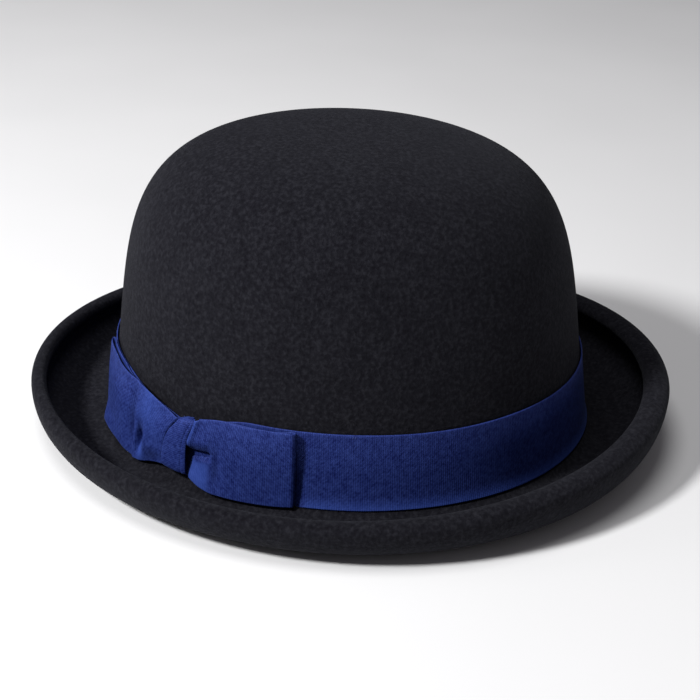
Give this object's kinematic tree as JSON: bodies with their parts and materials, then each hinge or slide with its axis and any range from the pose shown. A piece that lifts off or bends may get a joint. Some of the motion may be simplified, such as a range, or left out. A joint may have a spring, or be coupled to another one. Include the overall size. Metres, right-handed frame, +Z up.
{
  "type": "bowler hat",
  "caption": "Stiff felt bowler hat with a rounded crown, a short curled brim, a ribbon band with a flat side bow, and a sweatband and lining inside.",
  "frame": {"origin": "centre of the head opening, on the plane the brim's underside rests on", "axes": "+Z up through the crown, -Y towards the front of the hat, +X towards the wearer's left, where the bow is"},
  "size_m": [0.247, 0.2796, 0.1291],
  "materials": {
    "felt": "matte black wool felt, fine nap",
    "grosgrain": "ribbed royal blue grosgrain, slight sheen",
    "blue_thread": "matte sewing thread",
    "sweatband_leather": "semi-matte tan leather",
    "reed": "matte brown cord",
    "pale_thread": "matte sewing thread",
    "tie_ribbon": "narrow brown ribbon",
    "satin": "black satin lining"
  },
  "bodies": {
    "hat": {"felt_body": "felt", "hatband": "grosgrain", "bow_knot": "grosgrain", "bow_tack_upper": "blue_thread", "bow_tack_lower": "blue_thread", "hatband_tack_front": "blue_thread", "hatband_tack_left": "blue_thread", "hatband_tack_rear": "blue_thread", "sweatband": "sweatband_leather", "sweatband_reed": "reed", "sweatband_stitching": "pale_thread", "sweatband_rear_bow": "tie_ribbon", "lining_side": "satin", "lining_tip": "satin"},
    "front_loop": {"bow_front_loop": "grosgrain"},
    "rear_loop": {"bow_rear_loop": "grosgrain"}
  },
  "joints": [
    {"name": "front_loop_lift", "type": "hinge", "parent": "hat", "child": "front_loop", "pos_m": [0.06042, -0.07712, 0.02213], "axis": [-0.0716, 0.0545, 0.9959], "range_deg": [0, 25], "stiffness_Nm_per_rad": 0.004},
    {"name": "rear_loop_lift", "type": "hinge", "parent": "hat", "child": "rear_loop", "pos_m": [0.07147, -0.06292, 0.0223], "axis": [0.0363, -0.112, -0.993], "range_deg": [0, 25], "stiffness_Nm_per_rad": 0.004}
  ]
}
